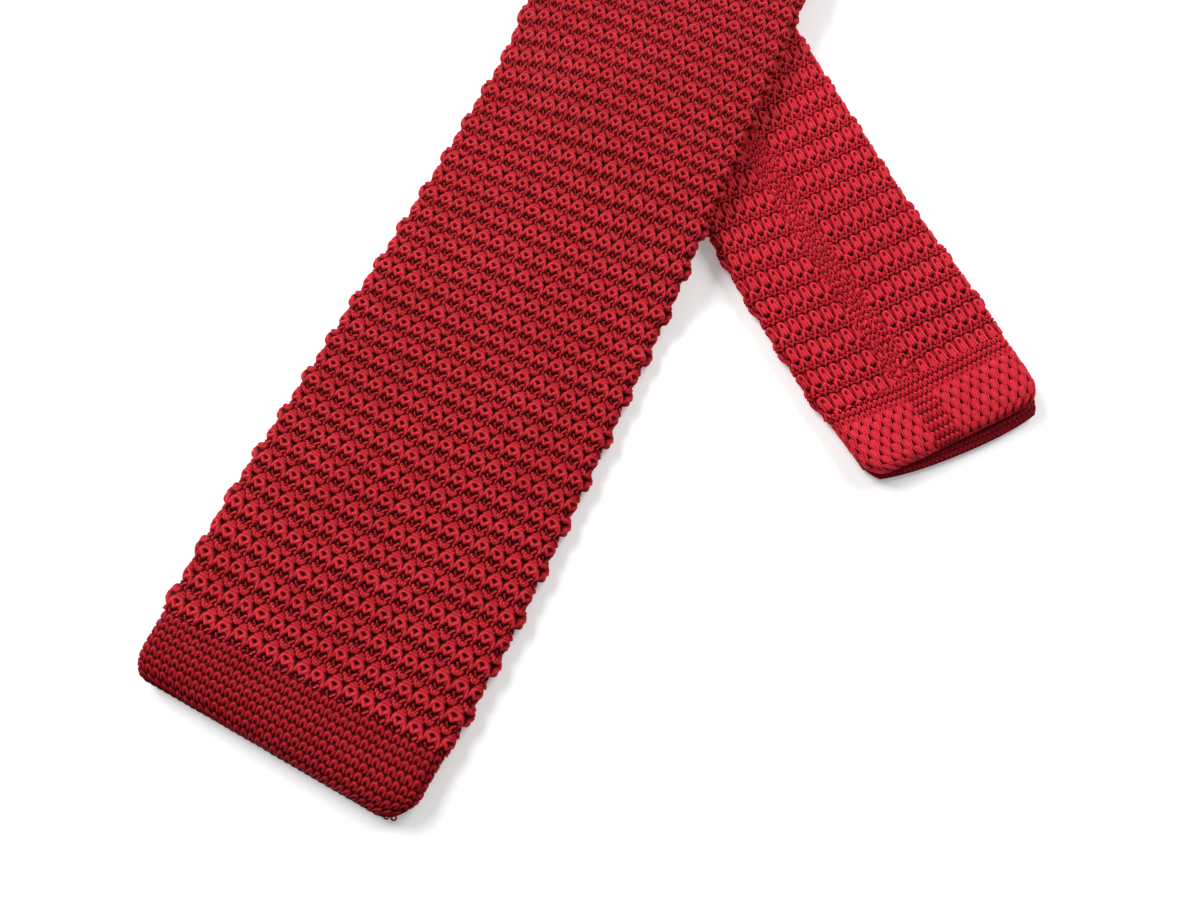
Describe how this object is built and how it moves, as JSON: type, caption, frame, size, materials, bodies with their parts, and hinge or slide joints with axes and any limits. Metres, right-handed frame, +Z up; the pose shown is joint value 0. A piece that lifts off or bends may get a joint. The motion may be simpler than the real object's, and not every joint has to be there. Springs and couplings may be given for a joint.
{
  "type": "knit tie",
  "caption": "Square-ended knitted necktie lying flat, its wide blade over the narrow tail, with the neck band in one plain loop.",
  "frame": {"origin": "middle of the lying tie's box, on the table", "axes": "+Z up from the table, +Y from the two ends toward the top of the neck loop, +X to the right seen from above with the ends near"},
  "size_m": [0.2924, 0.6748, 0.0075],
  "materials": {
    "blade_end_band": "fine plain knit in deep red yarn, matt with a soft sheen",
    "blade": "open textured knit in red yarn, matt with a soft sheen",
    "neck_band": "open textured knit in red yarn, drawn narrow",
    "tail": "open textured knit in red yarn, drawn long",
    "tail_end_band": "slanting open knit in red yarn, matt with a soft sheen"
  },
  "bodies": {
    "root": {"blade_end_band": "blade_end_band", "blade": "blade", "neck_band": "neck_band", "tail": "tail", "tail_end_band": "tail_end_band"}
  },
  "joints": []
}
